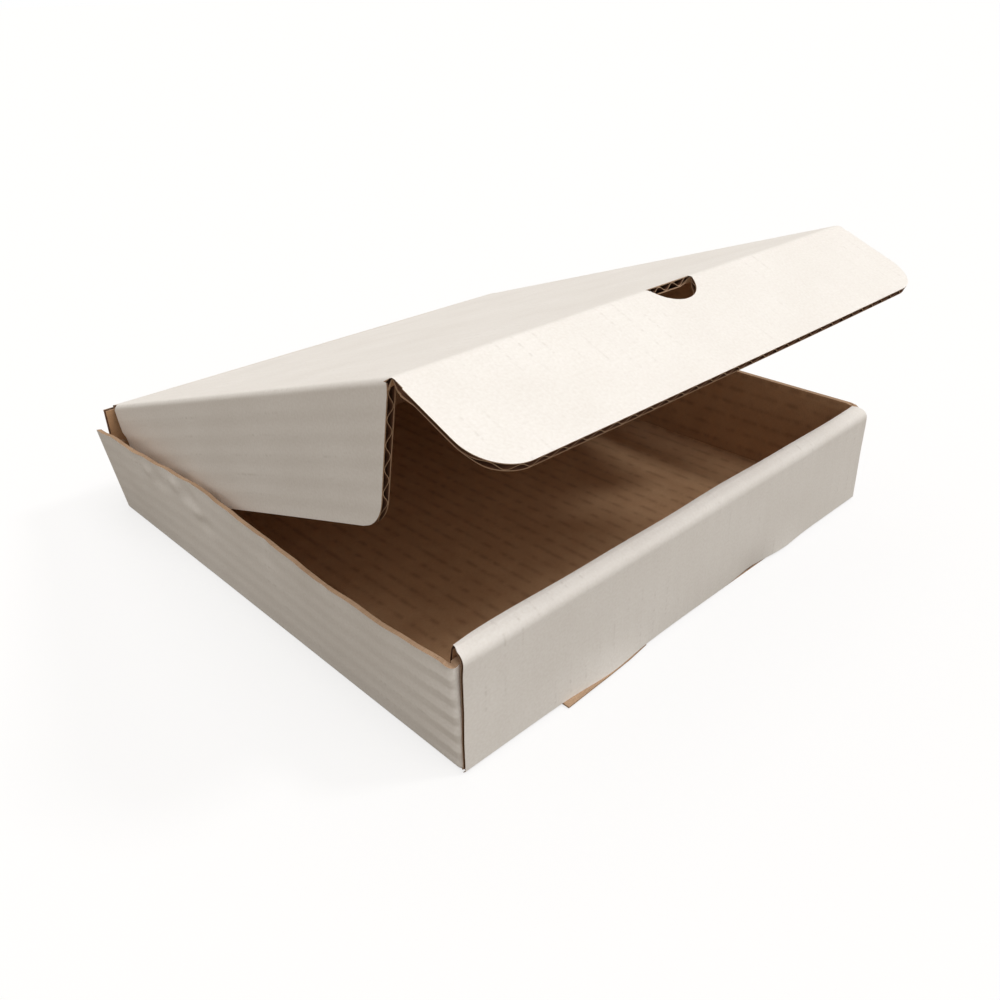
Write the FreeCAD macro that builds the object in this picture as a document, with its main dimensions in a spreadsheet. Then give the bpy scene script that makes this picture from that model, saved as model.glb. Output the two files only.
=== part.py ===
"""Pizza box of single-wall corrugated board, one folded sheet with a hinged lid.

Lengths are millimetres and angles are degrees. X runs to the right along the
front wall, Y from the front wall to the rear wall and Z up. The origin is the
middle of the underside of the base.
"""
import FreeCAD, Part
import math
import os
import Sketcher

doc = FreeCAD.newDocument("PizzaBox")
sheet = doc.addObject("Spreadsheet::Sheet", "sizes")

# alias, value, what it is
SIZES = [
    ("box_width", 260.0, "outside of one side wall fold to the other, at the base"),
    ("box_depth", 258.0, "outside of front wall to outside of rear wall"),
    ("board", 3.0, "thickness of the corrugated board"),
    ("liner", 0.45, "thickness of each facing paper"),
    ("medium", 0.4, "thickness of the fluted paper"),
    ("flute_pitch", 7.9, "crest to crest of the flutes"),
    ("cell_depth", 4.0, "how far the open flutes are followed in from a cut edge"),
    ("play", 0.3, "running gap between board faces"),
    ("crease_skin", 0.8, "crushed thickness of the board at a jointed crease"),
    ("crease_gap", 1.1, "gap between the two panels at a jointed crease"),
    ("crease_slope", 40.0, "slope of the crushed board beside a jointed crease"),
    ("fold_radius", 2.4, "outside radius of a plain fold"),
    ("hinge_height", 53.5, "height of the lid crease over the table"),
    ("front_height", 47.0, "height of the front wall at its outer face"),
    ("strip_depth", 8.2, "depth of the strip on top of the double front wall"),
    ("strip_rise", 2.9, "how much higher the strip's inner edge lies"),
    ("strip_radius", 4.5, "outside radius of the fold from front wall to strip"),
    ("inner_foot", 9.9, "front face to the foot of the inner front panel"),
    ("front_cut_in", 2.8, "side wall face to the cut edge of the front panel"),
    ("left_height", 45.5, "length of the left wall up from its fold"),
    ("right_height", 49.0, "length of the right wall up from its fold"),
    ("left_lean_front", 3.0, "how far the left wall leans out, at its front end"),
    ("left_lean_bulge", 5.2, "how far it leans out where it bulges"),
    ("left_lean_hollow", 1.2, "how far it leans out where it is hollow"),
    ("left_lean_rear", 6.5, "how far the left wall leans out, at its rear end"),
    ("left_bulge_at", 65.0, "front face to the middle of that bulge"),
    ("left_hollow_at", 162.0, "front face to the middle of that hollow"),
    ("right_lean", 0.8, "how far the right wall leans out"),
    ("ear_length", 43.0, "length of the corner ears folded from the side walls"),
    ("front_ear_height", 44.0, "top of the front ears"),
    ("rear_ear_height", 35.0, "top of the rear ears"),
    ("ear_taper", 4.0, "how much lower an ear's free end is"),
    ("tab_inset", 47.0, "side wall face to the outer end of a locking tab"),
    ("tab_length", 48.0, "length of a locking tab"),
    ("tab_skin", 1.6, "crushed thickness of a locking tab in its slot"),
    ("tab_poke_left", 2.8, "how far the left tab comes out past the front face"),
    ("tab_poke_right", 1.0, "how far the right tab comes out past the front face"),
    ("tab_slant", 2.6, "how much less a tab comes out at its inner end"),
    ("side_play", 3.7, "side wall face to the lid's side flap, each side"),
    ("lid_length", 242.0, "lid crease to front flap crease"),
    ("lid_angle", 18.5, "how far the lid stands open"),
    ("side_flap_drop", 47.8, "depth of the lid's side flaps"),
    ("side_flap_slope", 29.5, "slant of a side flap's front edge"),
    ("side_flap_corner", 11.0, "radius of a side flap's lower front corner"),
    ("side_flap_step", 3.9, "step that clears the rear ear"),
    ("side_flap_step_drop", 13.0, "depth at which that step starts"),
    ("front_flap_drop", 44.4, "depth of the front flap"),
    ("front_flap_angle", 42.5, "fold between the lid and its front flap"),
    ("front_flap_corner", 16.0, "radius of the front flap's lower corners"),
    ("thumb_offset", 2.2, "thumb hole's middle to the right of the box's middle"),
    ("thumb_width", 25.5, "width of the thumb hole at the crease"),
    ("thumb_drop", 9.6, "depth of the thumb hole in the front flap"),
    ("thumb_edge_inset", 2.0, "uncrushed lid edge ends this far inside the hole"),
    ("edge_groove", 1.2, "depth of the channel in a cut edge along the flutes"),
]
for row, (alias, value, note) in enumerate(SIZES, start=1):
    sheet.set("A%d" % row, note)
    sheet.set("B%d" % row, str(value))
    sheet.setAlias("B%d" % row, alias)
doc.recompute()


def size(alias):
    """The number in the sheet's cell of that name."""
    return float(sheet.get(alias))


def origin_plane(body, role):
    """One of the body's own three origin planes."""
    return [p for p in body.Origin.OriginFeatures if p.Role == role][0]


def new_sketch(body, name, role, offset=None):
    """A sketch on an origin plane, moved along the plane's normal by offset."""
    sketch = body.newObject("Sketcher::SketchObject", name)
    sketch.AttachmentSupport = (origin_plane(body, role), [""])
    sketch.MapMode = "FlatFace"
    if offset:
        sketch.setExpression(".AttachmentOffset.Base.z", offset)
    return sketch


def polygon(body, name, role, corners, offset=None):
    """A closed outline whose corners are pairs of expressions of the sheet."""
    sketch = new_sketch(body, name, role, offset)
    count = len(corners)
    turn = 2 * math.pi / count
    radius = 100.0  # of the ring of points that the constraints then move
    start = [FreeCAD.Vector(radius * math.cos(k * turn), radius * math.sin(k * turn), 0)
             for k in range(count)]
    for k in range(count):
        sketch.addGeometry(Part.LineSegment(start[k], start[(k + 1) % count]))
    for k in range(count):
        sketch.addConstraint(
            Sketcher.Constraint("Coincident", k, 2, (k + 1) % count, 1))
    for k, pair in enumerate(corners):
        for kind, where, text in (("DistanceX", start[k].x, pair[0]),
                                  ("DistanceY", start[k].y, pair[1])):
            index = sketch.addConstraint(
                Sketcher.Constraint(kind, -1, 1, k, 1, where))
            sketch.setExpression("Constraints[%d]" % index, text)
    return sketch


def pad(body, name, sketch, length, midplane=False, reverse=False):
    """Material on both sides or one side of the sketch."""
    feature = body.newObject("PartDesign::Pad", name)
    feature.Profile = sketch
    feature.setExpression("Length", length)
    feature.Midplane = midplane
    feature.Reversed = reverse
    return feature


def pocket(body, name, sketch, length, midplane=False, reverse=False):
    """A cut on both sides or one side of the sketch."""
    feature = body.newObject("PartDesign::Pocket", name)
    feature.Profile = sketch
    feature.setExpression("Length", length)
    feature.Midplane = midplane
    feature.Reversed = reverse
    return feature


def fillet(body, name, radius, wanted):
    """A fillet on each edge of the body so far that wanted(edge) accepts."""
    doc.recompute()
    base = body.Tip
    names = ["Edge%d" % (k + 1) for k, edge in enumerate(base.Shape.Edges)
             if wanted(edge)]
    feature = body.newObject("PartDesign::Fillet", name)
    feature.Base = (base, names)
    feature.setExpression("Radius", radius)
    return feature


def runs_along(edge, axis):
    """True if the edge is straight and parallel to that axis."""
    ends = [vertex.Point for vertex in edge.Vertexes]
    if len(ends) != 2:
        return False
    return abs(abs((ends[1] - ends[0])[axis]) - edge.Length) < 1e-6


def passes(edge, **place):
    """True if the edge's middle lies at the given coordinates."""
    middle = edge.CenterOfMass
    return all(abs(getattr(middle, axis) - at) < 0.01 for axis, at in place.items())


board = size("board")
half_width = size("box_width") / 2
half_depth = size("box_depth") / 2
skin_half = size("crease_skin") / 2
crease_run = ((board - size("crease_skin"))
              / math.tan(math.radians(size("crease_slope"))))

RIGHT = "sizes.box_width / 2"
REAR = "sizes.box_depth / 2"
T = "sizes.board"
GAP = "sizes.play"
NOSE = "sizes.crease_gap / 2"
HALF_SKIN = "sizes.crease_skin / 2"
RUN = "(sizes.board - sizes.crease_skin) / tan(sizes.crease_slope * 1 deg)"

# Tray: base, rear wall, double front wall, side walls and their corner ears.
tray = doc.addObject("PartDesign::Body", "tray_body")
section = polygon(tray, "base_section", "YZ_Plane", [
    ("-%s" % REAR, "0"),
    (REAR, "0"),
    (REAR, "sizes.hinge_height - %s" % NOSE),
    ("%s - sizes.crease_skin" % REAR, "sizes.hinge_height - %s" % NOSE),
    ("%s - %s" % (REAR, T), "sizes.hinge_height - %s - %s" % (NOSE, RUN)),
    ("%s - %s" % (REAR, T), T),
    ("-%s" % REAR, T),
])
pad(tray, "base_and_rear_wall", section, "sizes.box_width", midplane=True)

roll = polygon(tray, "front_section", "YZ_Plane", [
    ("-%s" % REAR, "0"),
    ("%s - %s" % (T, REAR), "0"),
    ("%s - %s" % (T, REAR), "sizes.front_height - %s" % T),
    ("sizes.strip_depth - %s - %s" % (T, REAR),
     "sizes.front_height + sizes.strip_rise - %s" % T),
    ("sizes.inner_foot - %s - %s" % (T, REAR), "%s + %s" % (T, GAP)),
    ("sizes.inner_foot - %s" % REAR, "%s + %s" % (T, GAP)),
    ("sizes.strip_depth - %s" % REAR, "sizes.front_height + sizes.strip_rise"),
    ("-%s" % REAR, "sizes.front_height"),
])
pad(tray, "double_front_wall", roll,
    "sizes.box_width - 2 * sizes.front_cut_in", midplane=True)

WALL_END = "%s - %s - %s" % (REAR, T, GAP)
for side, sign, leans in (
        ("left", "-", ("sizes.left_lean_front", "sizes.left_lean_rear")),
        ("right", "", ("sizes.right_lean", "sizes.right_lean"))):
    outer = "%s%s" % (sign, RIGHT)
    inward = "+" if sign else "-"
    outward = "-" if sign else "+"
    height = "sizes.%s_height" % side
    stations = [("front", WALL_END, leans[0])]
    if side == "left":
        stations += [
            ("bulge", "%s - sizes.left_bulge_at" % REAR, "sizes.left_lean_bulge"),
            ("hollow", "%s - sizes.left_hollow_at" % REAR, "sizes.left_lean_hollow"),
            ("rear", "-(%s)" % WALL_END, leans[1])]
    sections = []
    for end, offset, lean in stations:
        sections.append(polygon(tray, "%s_wall_%s" % (side, end), "XZ_Plane", [
            (outer, "0"),
            ("%s %s %s" % (outer, inward, T), "0"),
            ("%s %s %s" % (outer, inward, T), T),
            ("%s %s %s %s %s" % (outer, inward, T, outward, lean), height),
            ("%s %s %s" % (outer, outward, lean), height),
            (outer, T),
        ], offset))
    if side == "left":
        wall = tray.newObject("PartDesign::AdditiveLoft", "left_wall")
        wall.Profile = sections[0]
        wall.Sections = sections[1:]
        wall.Ruled = True
    else:
        pad(tray, "right_wall", sections[0], "2 * (%s)" % WALL_END, reverse=True)
    for end, place, lean in (
            ("front", WALL_END, leans[0]),
            ("rear", "%s - (%s)" % (T, WALL_END), leans[1])):
        ear_height = "sizes.%s_ear_height" % end
        ear = polygon(tray, "%s_%s_ear_outline" % (side, end), "XZ_Plane", [
            ("%s %s %s / 2" % (outer, inward, T), "%s + %s" % (T, GAP)),
            ("%s %s sizes.ear_length" % (outer, inward), "%s + %s" % (T, GAP)),
            ("%s %s sizes.ear_length" % (outer, inward),
             "%s - sizes.ear_taper" % ear_height),
            ("%s %s %s / 2 %s %s * %s / %s" % (outer, inward, T, outward, lean,
                                               ear_height, height), ear_height),
        ], place)
        pad(tray, "%s_%s_ear" % (side, end), ear, T, reverse=True)

wall_end = half_depth - board - size("play")
front_top = size("front_height")
strip_top = front_top + size("strip_rise")
strip_back = size("strip_depth") - half_depth
for name, axis in (("end_base_folds", 0), ("side_base_folds", 1)):
    fillet(tray, name, "sizes.fold_radius", lambda edge: (
        passes(edge, z=0) and runs_along(edge, axis) and edge.Length > half_width))
fillet(tray, "front_top_fold", "sizes.strip_radius", lambda edge: (
    passes(edge, y=-half_depth, z=front_top)))
fillet(tray, "front_top_fold_inside", "sizes.strip_radius - sizes.board",
       lambda edge: passes(edge, y=board - half_depth, z=front_top - board))
fillet(tray, "strip_back_fold", "sizes.fold_radius", lambda edge: (
    passes(edge, y=strip_back, z=strip_top)))
fillet(tray, "corner_folds", "sizes.fold_radius", lambda edge: (
    abs(abs(edge.CenterOfMass.y) - wall_end) < 0.01
    and abs(edge.CenterOfMass.x) > half_width
    and edge.Length > size("left_height") / 2))
fillet(tray, "rear_crease_edge", "sizes.crease_skin * 0.45", lambda edge: (
    runs_along(edge, 0) and edge.CenterOfMass.z > size("hinge_height") - 1))

for side, start, stop, poke_out, poke_in in (
        ("left", "sizes.tab_inset - %s" % RIGHT,
         "sizes.tab_inset + sizes.tab_length - %s" % RIGHT,
         "sizes.tab_poke_left", "(sizes.tab_poke_left - sizes.tab_slant)"),
        ("right", "%s - sizes.tab_inset - sizes.tab_length" % RIGHT,
         "%s - sizes.tab_inset" % RIGHT,
         "sizes.tab_poke_right", "sizes.tab_poke_right")):
    under_panel = "2 * %s + sizes.tab_skin" % GAP
    slot = polygon(tray, "%s_slot_section" % side, "YZ_Plane", [
        ("-%s - %s" % (REAR, T), "-%s" % T),
        ("sizes.inner_foot + %s - %s" % (GAP, REAR), "-%s" % T),
        ("sizes.inner_foot + %s - %s" % (GAP, REAR), "%s + %s / 2" % (T, GAP)),
        ("%s - %s" % (T, REAR), "%s + %s / 2" % (T, GAP)),
        ("%s - %s" % (T, REAR), under_panel),
        ("-%s - %s" % (REAR, T), under_panel),
    ], "%s + %s" % (stop, GAP))
    pocket(tray, "%s_slot" % side, slot, "sizes.tab_length + 2 * %s" % GAP)
    tongue = polygon(tray, "%s_tab_outline" % side, "XY_Plane", [
        (start, "-%s - %s" % (REAR, poke_out)),
        (stop, "-%s - %s" % (REAR, poke_in)),
        (stop, "sizes.inner_foot - %s" % REAR),
        (start, "sizes.inner_foot - %s" % REAR),
    ], GAP)
    pad(tray, "%s_tab" % side, tongue, "sizes.tab_skin")
    root = polygon(tray, "%s_tab_root_section" % side, "YZ_Plane", [
        ("sizes.inner_foot - %s - %s" % (T, REAR), GAP),
        ("sizes.inner_foot - %s" % REAR, GAP),
        ("sizes.inner_foot - %s" % REAR, "%s + %s" % (T, GAP)),
        ("sizes.inner_foot - %s - %s" % (T, REAR), "%s + %s" % (T, GAP)),
    ], start)
    pad(tray, "%s_tab_root" % side, root, "sizes.tab_length")

# Lid, flat about its rear crease: -Y runs to the front crease, +Z is outside.
lid = doc.addObject("PartDesign::Body", "lid_body")
LID_HALF = "(sizes.box_width / 2 - sizes.side_play)"
panel = polygon(lid, "lid_section", "YZ_Plane", [
    ("-%s" % NOSE, HALF_SKIN),
    ("-%s" % NOSE, "-%s" % HALF_SKIN),
    ("-%s - %s" % (NOSE, RUN), "%s - %s" % (HALF_SKIN, T)),
    ("%s + %s - sizes.lid_length" % (NOSE, RUN), "%s - %s" % (HALF_SKIN, T)),
    ("%s - sizes.lid_length" % NOSE, "-%s" % HALF_SKIN),
    ("%s - sizes.lid_length" % NOSE, HALF_SKIN),
])
pad(lid, "lid_panel", panel, "2 * %s" % LID_HALF, midplane=True)
SLOPE = "tan(sizes.side_flap_slope * 1 deg)"
FLAP_FRONT = "(%s + %s - sizes.lid_length)" % (T, GAP)
for side, offset in (("left", "-%s" % LID_HALF), ("right", "%s - %s" % (LID_HALF, T))):
    outline = polygon(lid, "%s_flap_outline" % side, "YZ_Plane", [
        ("-%s - %s" % (T, NOSE), HALF_SKIN),
        ("-%s - %s" % (T, NOSE), "%s - sizes.side_flap_step_drop" % HALF_SKIN),
        ("-%s - %s - sizes.side_flap_step" % (T, NOSE),
         "%s - sizes.side_flap_step_drop - sizes.side_flap_step" % HALF_SKIN),
        ("-%s - %s - sizes.side_flap_step" % (T, NOSE),
         "%s - sizes.side_flap_drop" % HALF_SKIN),
        ("%s + (sizes.side_flap_drop - %s) * %s" % (FLAP_FRONT, T, SLOPE),
         "%s - sizes.side_flap_drop" % HALF_SKIN),
        (FLAP_FRONT, "%s - %s" % (HALF_SKIN, T)),
        (FLAP_FRONT, HALF_SKIN),
    ], offset)
    pad(lid, "%s_flap" % side, outline, T)
THUMB_EDGE = "sizes.thumb_width - 2 * sizes.thumb_edge_inset"
whole_edge = polygon(lid, "thumb_edge_section", "YZ_Plane", [
    ("%s - sizes.lid_length" % NOSE, "0"),
    ("%s - sizes.lid_length" % NOSE, "%s - %s" % (HALF_SKIN, T)),
    ("%s + %s + %s - sizes.lid_length" % (NOSE, RUN, T), "%s - %s" % (HALF_SKIN, T)),
    ("%s + %s + %s - sizes.lid_length" % (NOSE, RUN, T), "0"),
], "sizes.thumb_offset - (%s) / 2" % THUMB_EDGE)
pad(lid, "thumb_edge", whole_edge, THUMB_EDGE)
lid_half = half_width - size("side_play")
flap_low = skin_half - size("side_flap_drop")
fillet(lid, "flap_corners", "sizes.side_flap_corner", lambda edge: (
    runs_along(edge, 0) and passes(edge, z=flap_low)
    and edge.CenterOfMass.y < -size("lid_length") / 2))
fillet(lid, "side_folds", "sizes.fold_radius", lambda edge: (
    runs_along(edge, 1) and passes(edge, z=skin_half)
    and abs(abs(edge.CenterOfMass.x) - lid_half) < 0.01))
fillet(lid, "lid_crease_edges", "sizes.crease_skin * 0.45", lambda edge: (
    runs_along(edge, 0) and abs(abs(edge.CenterOfMass.z) - skin_half) < 0.01
    and (edge.CenterOfMass.y > -1 or edge.CenterOfMass.y < 1 - size("lid_length"))))

# Front flap, flat about its crease: -Y runs to the free edge, +Z is outside.
flap = doc.addObject("PartDesign::Body", "front_flap_body")
face = polygon(flap, "flap_outline", "XY_Plane", [
    ("-%s" % LID_HALF, "-%s" % NOSE),
    ("-%s" % LID_HALF, "-sizes.front_flap_drop"),
    (LID_HALF, "-sizes.front_flap_drop"),
    (LID_HALF, "-%s" % NOSE),
], "%s - %s" % (HALF_SKIN, T))
pad(flap, "flap_panel", face, T)
fillet(flap, "free_corners", "sizes.front_flap_corner", lambda edge: (
    runs_along(edge, 2) and passes(edge, y=-size("front_flap_drop"))))
crush = polygon(flap, "crease_section", "YZ_Plane", [
    (T, "-%s" % HALF_SKIN),
    ("-%s" % NOSE, "-%s" % HALF_SKIN),
    ("-%s - %s" % (NOSE, RUN), "%s - %s" % (HALF_SKIN, T)),
    ("-%s - %s" % (NOSE, RUN), "-2 * %s" % T),
    (T, "-2 * %s" % T),
])
pocket(flap, "crushed_crease", crush, "2 * sizes.box_width", midplane=True)
fillet(flap, "flap_crease_edges", "sizes.crease_skin * 0.45", lambda edge: (
    runs_along(edge, 0) and abs(abs(edge.CenterOfMass.z) - skin_half) < 0.01
    and edge.CenterOfMass.y > -1))
THUMB_RADIUS = ("((sizes.thumb_width / 2) ^ 2 + sizes.thumb_drop ^ 2)"
                " / (2 * sizes.thumb_drop)")
hole = new_sketch(flap, "thumb_outline", "XY_Plane", T)
first_radius = 10.0  # of a circle that the constraints then move and resize
hole.addGeometry(Part.Circle(FreeCAD.Vector(1, 1, 0), FreeCAD.Vector(0, 0, 1),
                             first_radius))
for kind, ends, text in (
        ("DistanceX", (-1, 1, 0, 3, 1.0), "sizes.thumb_offset"),
        ("DistanceY", (-1, 1, 0, 3, 1.0), "%s - sizes.thumb_drop" % THUMB_RADIUS),
        ("Radius", (0, first_radius), THUMB_RADIUS)):
    index = hole.addConstraint(Sketcher.Constraint(kind, *ends))
    hole.setExpression("Constraints[%d]" % index, text)
pocket(flap, "thumb_hole", hole, "3 * %s" % T)
doc.recompute()

lid_turn = size("lid_angle")
flap_turn = size("front_flap_angle") - lid_turn
hinge = FreeCAD.Vector(0, half_depth - skin_half, size("hinge_height"))
x_axis = FreeCAD.Vector(1, 0, 0)
open_turn = FreeCAD.Rotation(x_axis, -lid_turn)
lid_place = FreeCAD.Placement(hinge, open_turn)
crease = hinge + open_turn.multVec(FreeCAD.Vector(0, -size("lid_length"), 0))
flap_place = FreeCAD.Placement(crease, FreeCAD.Rotation(x_axis, flap_turn))

# Open flutes. Where the sheet is cut across them, each shows two cells, one on
# either side of the wavy paper. Where it is cut along them, one channel shows.
pitch = size("flute_pitch")
liner = size("liner")
medium = size("medium")
cell_depth = size("cell_depth")
groove = size("edge_groove")
Vector = FreeCAD.Vector
core = board - 2 * liner
swing = (core - medium) / 2


def cell_points(centre, face, upper):
    """Corners (across, through) of one cell of a cosine wave, as six points.

    face is the outside of the board; through falls from there to the inside.
    """
    middle = face - board / 2
    points = [(-0.40, core / 2), (0.40, core / 2)]
    for share in (0.25, 0.11, -0.11, -0.25):
        wave = -swing * math.cos(2 * math.pi * share) + medium * 0.6
        points.append((share, wave))
    sign = 1 if upper else -1
    return [(centre + share * pitch, middle + sign * rise) for share, rise in points]


def prism(points, way):
    """A straight prism on the polygon, reaching along way."""
    return Part.Face(Part.makePolygon(points + points[:1])).extrude(way)


def flute_centres(low, high):
    """Centres of the cells that fit between two limits, upper and lower in turn."""
    count = int((high - low - 0.3 * pitch) // (pitch / 2))
    first = (low + high - (count - 1) * pitch / 2) / 2
    return [(first + k * pitch / 2, k % 2 == 0) for k in range(count)]


def cut_reach(shape, start, way):
    """How far along way from start the solid's nearest point is, or None."""
    line = Part.makeLine(start, start + way)
    found = shape.common(line)
    if not found.Vertexes:
        return None
    return min((v.Point - start).Length for v in found.Vertexes)


def cells_along(shape, low, high, face, at, way):
    """Blind cells cut in from an edge, each as deep as cell_depth.

    at(across, through) is the point on a plane outside the edge, and way
    points into the board along the flutes.
    """
    unit = Vector(way).normalize()
    made = []
    for centre, upper in flute_centres(low, high):
        corners = cell_points(centre, face, upper)
        reaches = [cut_reach(shape, at(across, face - board / 2), Vector(way))
                   for across in (corners[0][0], centre, corners[1][0])]
        if None in reaches:
            continue
        base = [at(across, through) for across, through in corners]
        made.append(prism(base, unit * (max(reaches) + cell_depth)))
    return made


def cut_node(label, body, tools, place):
    """The body with its open flutes cut, under the node's own label."""
    cutter = doc.addObject("Part::Feature", label + "_flutes")
    cutter.Shape = Part.makeCompound(tools)
    cutter.Placement = place
    body.Placement = place
    node = doc.addObject("Part::Cut", label + "_cut")
    node.Base = body
    node.Tool = cutter
    node.Label = label
    return node


far = size("box_depth")
flap_shape = flap.Shape
flap_tools = cells_along(
    flap_shape, liner - lid_half, lid_half - liner, skin_half,
    lambda across, through: Vector(across, -far, through), Vector(0, far, 0))
lid_shape = lid.Shape
thumb_half = size("thumb_width") / 2 - size("thumb_edge_inset")
lid_tools = cells_along(
    lid_shape, size("thumb_offset") - thumb_half, size("thumb_offset") + thumb_half,
    skin_half,
    lambda across, through: Vector(across, -2 * far, through), Vector(0, 2 * far, 0))
for sign in (-1, 1):
    outside = sign * lid_half
    for start, run in ((-2 * far, 2 * far), (far, -2 * far)):
        lid_tools += cells_along(
            lid_shape, skin_half + liner - size("side_flap_drop"), -board, lid_half,
            lambda across, through: Vector(sign * through, start, across),
            Vector(0, run, 0))
    side = [Vector(outside + sign, 0, skin_half - liner),
            Vector(outside + sign, 0, skin_half - board + liner),
            Vector(outside - sign * groove, 0, skin_half - board + liner),
            Vector(outside - sign * groove, 0, skin_half - liner)]
    begin = size("crease_gap") / 2 + crease_run
    stop = size("front_flap_drop") - size("front_flap_corner")
    flap_tools.append(prism([v - Vector(0, begin, 0) for v in side],
                            Vector(0, begin - stop, 0)))
    low_edge = skin_half - size("side_flap_drop")
    low_front = ((size("side_flap_drop") - board)
                 * math.tan(math.radians(size("side_flap_slope"))) + board
                 + size("play") - size("lid_length") + 2 * size("side_flap_corner"))
    low_rear = -board - size("crease_gap") / 2 - size("side_flap_step") - 2 * board
    channel = [Vector(sign * (lid_half - liner), low_front, low_edge - 1),
               Vector(sign * (lid_half - board + liner), low_front, low_edge - 1),
               Vector(sign * (lid_half - board + liner), low_front, low_edge + groove),
               Vector(sign * (lid_half - liner), low_front, low_edge + groove)]
    lid_tools.append(prism(channel, Vector(0, low_rear - low_front, 0)))

tray_tools = []
panel_edge = half_width - size("front_cut_in")
left_stations = [(-wall_end, size("left_lean_front")),
                 (size("left_bulge_at") - half_depth, size("left_lean_bulge")),
                 (size("left_hollow_at") - half_depth, size("left_lean_hollow")),
                 (wall_end, size("left_lean_rear"))]
right_stations = [(-wall_end, size("right_lean")), (wall_end, size("right_lean"))]


def inset_stations(stations, inset):
    """The same straight runs, with the first and last station moved inwards."""
    made = list(stations)
    for end, near in ((0, 1), (-1, -2)):
        (y0, lean0), (y1, lean1) = stations[end], stations[near]
        share = inset / abs(y1 - y0)
        made[end] = (y0 + (y1 - y0) * share, lean0 + (lean1 - lean0) * share)
    return made


for sign, height, stations in (
        (-1, size("left_height"), left_stations),
        (1, size("right_height"), right_stations)):
    wires = []
    for y, lean in inset_stations(stations, 2 * board):
        top = half_width + lean
        low = top - lean * groove / height
        outline = [Vector(sign * (low - liner), y, height - groove),
                   Vector(sign * (low - board + liner), y, height - groove),
                   Vector(sign * (top - board + liner), y, height + groove),
                   Vector(sign * (top - liner), y, height + groove)]
        wires.append(Part.makePolygon(outline + outline[:1]))
    tray_tools.append(Part.makeLoft(wires, True, True))
    edge = [Vector(sign * (panel_edge + 1), y, board) for y in
            (liner - half_depth, board - liner - half_depth)]
    edge += [Vector(sign * (panel_edge - groove), y, board) for y in
             (board - liner - half_depth, liner - half_depth)]
    tray_tools.append(prism(edge, Vector(0, 0, front_top - size("strip_radius") - board)))

    rear_edge = [Vector(sign * (half_width + 1), y, board) for y in
                 (half_depth - liner, half_depth - board + liner)]
    rear_edge += [Vector(sign * (half_width - groove), y, board) for y in
                  (half_depth - board + liner, half_depth - liner)]
    rear_top = size("hinge_height") - size("crease_gap") / 2 - crease_run
    tray_tools.append(prism(rear_edge, Vector(0, 0, rear_top - board)))
    tray_tools += cells_along(
        tray.Shape, board + size("play") + liner,
        size("rear_ear_height") - size("ear_taper"), wall_end,
        lambda across, through: Vector(0, through, across),
        Vector(sign * size("box_width"), 0, 0))

nodes = [cut_node("tray", tray, tray_tools, FreeCAD.Placement()),
         cut_node("lid", lid, lid_tools, lid_place),
         cut_node("front_flap", flap, flap_tools, flap_place)]
doc.recompute()

for item in doc.Objects:
    if "Invalid" in item.State or "Error" in item.State:
        raise RuntimeError("%s did not build: %s" % (item.Name, item.State))
os.makedirs("parts", exist_ok=True)
for node in nodes:
    shape = node.Shape
    if shape.isNull() or not shape.isValid() or len(shape.Solids) != 1:
        raise RuntimeError("%s is not one valid solid" % node.Label)
    shape.exportStep("parts/%s.step" % node.Label)
    print(node.Label, round(shape.Volume), shape.BoundBox)
print("lid crease axis", hinge, "front crease axis", crease)
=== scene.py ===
# %% [markdown]
# A pizza box of corrugated board, white outside and kraft brown inside.
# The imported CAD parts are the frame: they fix every size, fold and moving body.
# Here each panel is built again as real corrugated board, with two liners and a
# fluted paper between them, so that the cut edges show what the board is.

# %% Load the frame
import bpy
import math
import numpy as np
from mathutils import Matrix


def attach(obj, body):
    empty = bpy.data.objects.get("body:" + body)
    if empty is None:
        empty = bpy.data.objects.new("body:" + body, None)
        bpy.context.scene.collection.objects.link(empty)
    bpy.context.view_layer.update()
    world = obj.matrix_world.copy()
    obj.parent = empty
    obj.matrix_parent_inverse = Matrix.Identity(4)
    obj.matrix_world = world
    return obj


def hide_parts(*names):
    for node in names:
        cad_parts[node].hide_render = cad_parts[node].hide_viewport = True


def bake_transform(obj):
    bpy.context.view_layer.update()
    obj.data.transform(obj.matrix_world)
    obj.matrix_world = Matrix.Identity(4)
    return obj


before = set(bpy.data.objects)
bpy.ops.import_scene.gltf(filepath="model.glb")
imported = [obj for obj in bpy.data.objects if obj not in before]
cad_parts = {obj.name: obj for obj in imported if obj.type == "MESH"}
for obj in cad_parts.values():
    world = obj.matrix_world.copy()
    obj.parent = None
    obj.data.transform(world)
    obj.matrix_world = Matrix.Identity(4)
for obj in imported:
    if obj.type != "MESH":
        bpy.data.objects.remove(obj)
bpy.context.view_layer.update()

# %% [markdown]
# The sizes are those of the CAD model, in millimetres, because a maker thinks of
# board in millimetres. Only the last step turns them to metres.

# %% The sheet's sizes
MM = 0.001
HALF_W, HALF_D = 130.0, 129.0    # half the tray's width and depth
T = 3.0                          # thickness of the board
GAP = 0.3                        # room left between one panel and the next
LINER, MEDIUM = 0.13, 0.1        # share of the thickness of a liner and of the medium
FLUTE = 7.9                      # pitch of the medium's wave
HINGE = np.array([128.6, 53.5])  # Y and Z of the rear crease's line
LID_LENGTH, LID_HALF = 242.0, 126.3
LID_ANGLE, FLAP_ANGLE = 18.5, 42.5
# At a crease the sheet is crushed to SKIN on each side of the crease's line. It
# is crushed as far as LIP on the inner face and OUTER_LIP on the outer one, is
# whole again from FULL on, and one board ends and the next begins at SEAM.
SKIN, LIP, OUTER_LIP, FULL, SEAM = 0.4, 0.55, 1.2, 3.17, 5.0
THUMB_X, THUMB_HALF, THUMB_DROP = 2.2, 12.75, 9.6
print("flutes across the lid:", round(2 * LID_HALF / FLUTE))

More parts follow.
